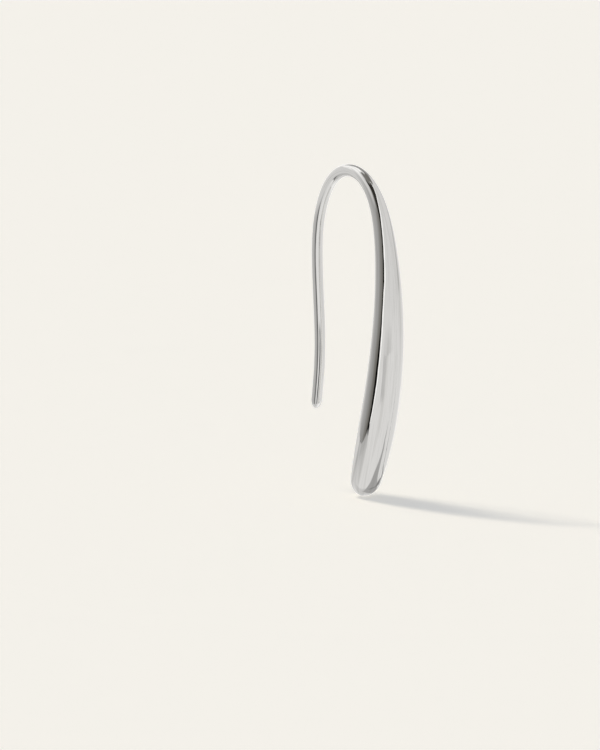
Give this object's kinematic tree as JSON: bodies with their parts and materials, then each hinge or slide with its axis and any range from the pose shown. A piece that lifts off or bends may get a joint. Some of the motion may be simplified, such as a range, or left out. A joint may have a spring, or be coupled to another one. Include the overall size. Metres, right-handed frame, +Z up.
{
  "type": "threader earring",
  "caption": "One-piece polished silver earring: a round ear wire hooks over an arch and swells into a long, slightly bowed drop with a rounded tip.",
  "frame": {"origin": "the seat: the highest point on the inside of the arch, where the earring hangs in the ear", "axes": "+Z up, the front of the drop faces -Y, the ear wire hangs on the +Y side, and the hook lies in the plane X = 0"},
  "size_m": [0.0036, 0.012, 0.0303],
  "materials": {
    "silver": "polished to a mirror, with faint polishing marks"
  },
  "bodies": {
    "root": {"hook_drop": "silver"}
  },
  "joints": []
}
